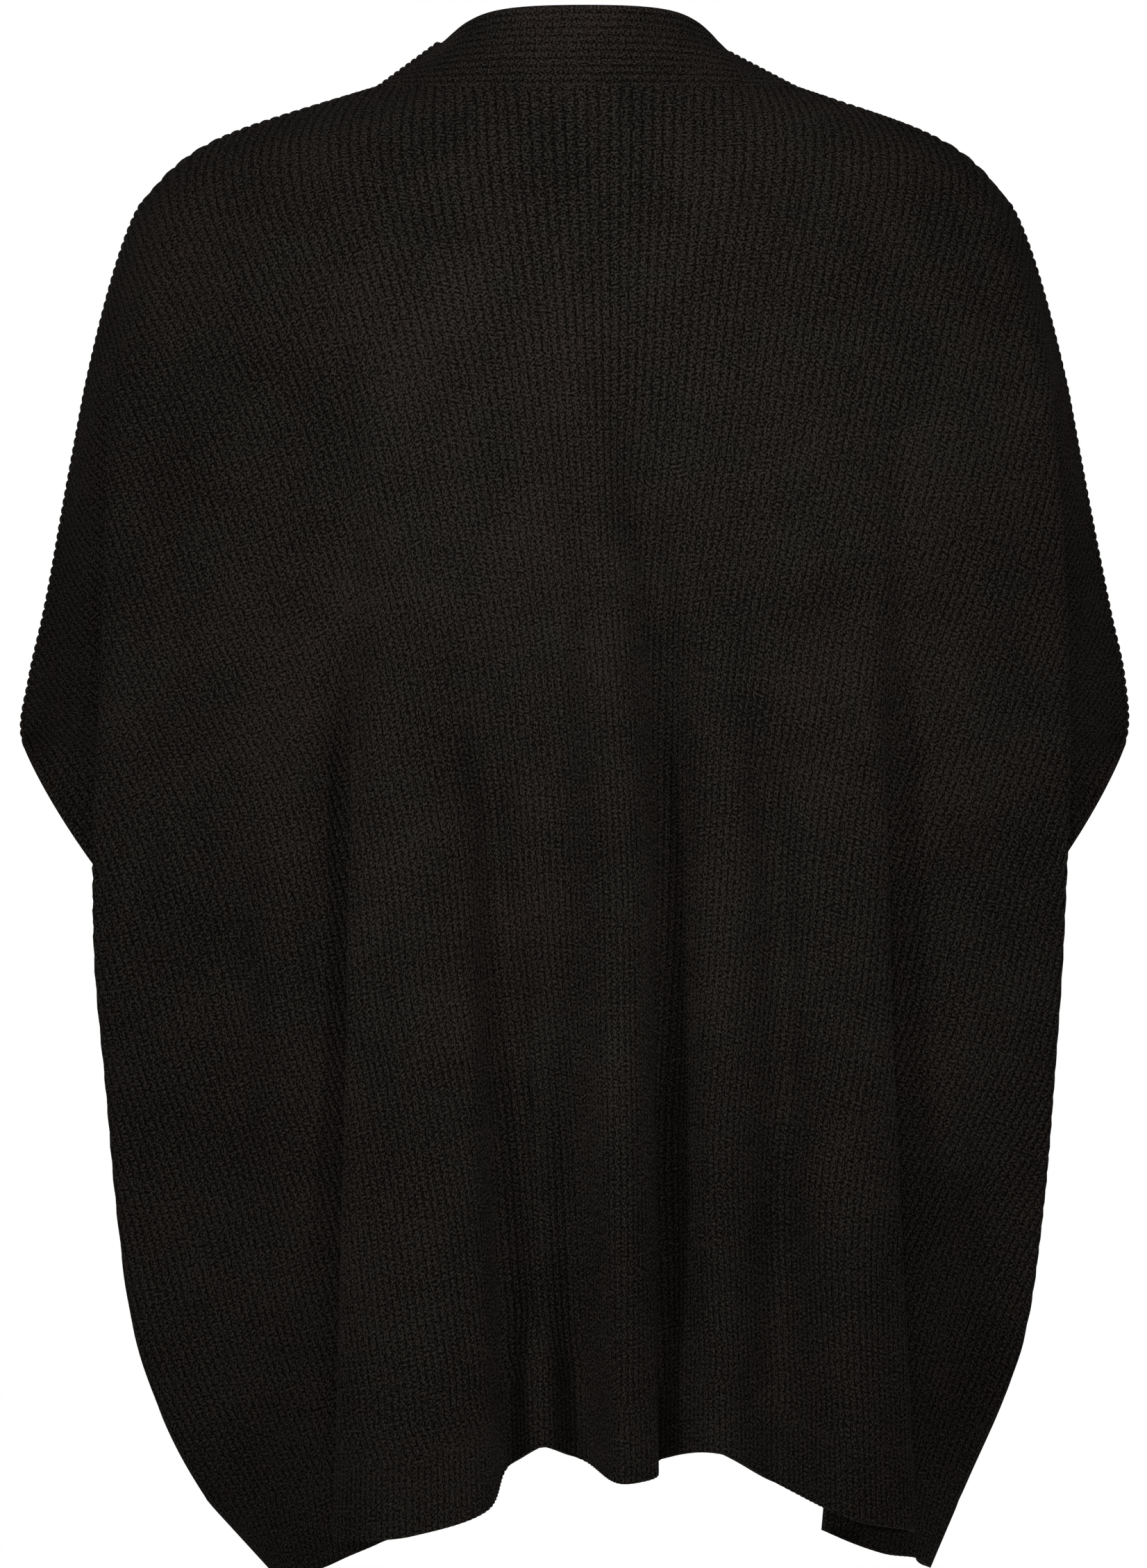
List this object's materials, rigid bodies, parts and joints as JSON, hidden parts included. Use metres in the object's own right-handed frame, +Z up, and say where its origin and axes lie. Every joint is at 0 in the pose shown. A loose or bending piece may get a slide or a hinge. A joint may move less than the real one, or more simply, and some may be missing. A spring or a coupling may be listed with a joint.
{
  "type": "open-front cardigan",
  "caption": "Wide rib-knit open-front cardigan with short cut-on sleeves, a standing rib neckband that runs down both fronts and a rib hem, worn shape.",
  "frame": {"origin": "midway between the two points where the neck seam meets the shoulders, at the height of those points", "axes": "+Z up, +X to the wearer's left, -Y to the wearer's front"},
  "size_m": [0.5985, 0.2906, 0.836],
  "materials": {
    "body_knit": "soft brushed half-cardigan rib in black-charcoal melange yarn",
    "hem_knit": "close one-by-one rib in the same yarn",
    "band_knit": "rib that runs along the band, in the same yarn"
  },
  "bodies": {
    "root": {"back": "body_knit", "front_left": "body_knit", "front_right": "body_knit", "hem_rib_back": "hem_knit", "hem_rib_left": "hem_knit", "hem_rib_right": "hem_knit", "band": "band_knit"}
  },
  "joints": []
}
